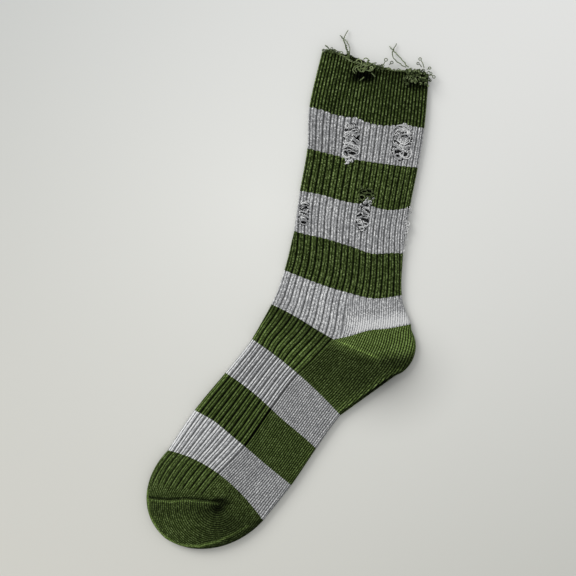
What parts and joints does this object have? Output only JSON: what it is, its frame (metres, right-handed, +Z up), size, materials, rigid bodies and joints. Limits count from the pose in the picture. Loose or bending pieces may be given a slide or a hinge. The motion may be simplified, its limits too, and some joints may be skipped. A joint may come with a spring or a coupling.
{
  "type": "holey sock",
  "caption": "Worn ribbed crew sock laid flat on its side, striped green and grey, with a raw frayed cuff, laddered holes, a plain heel and sole, and a closed toe.",
  "frame": {"origin": "middle of the sock's outline, on the surface that it lies on", "axes": "+Z up from the surface, +Y towards the cuff, +X towards the calf and heel fold"},
  "size_m": [0.2058, 0.3788, 0.008],
  "materials": {
    "green_yarn": "matt wool-blend knit",
    "grey_yarn": "matt melange wool-blend knit"
  },
  "bodies": {
    "root": {"cuff_rib_green": "green_yarn", "leg_grey_upper": "grey_yarn", "leg_green_upper": "green_yarn", "leg_grey_lower": "grey_yarn", "leg_green_lower": "green_yarn", "ankle_grey": "grey_yarn", "heel_green": "green_yarn", "foot_grey_rear": "grey_yarn", "foot_green": "green_yarn", "foot_grey_front": "grey_yarn", "toe_green": "green_yarn", "fray_front_corner": "green_yarn", "fray_middle": "green_yarn", "fray_back_corner": "green_yarn", "loose_end_front": "green_yarn", "loose_end_long": "green_yarn", "loose_end_bowed": "green_yarn"}
  },
  "joints": []
}
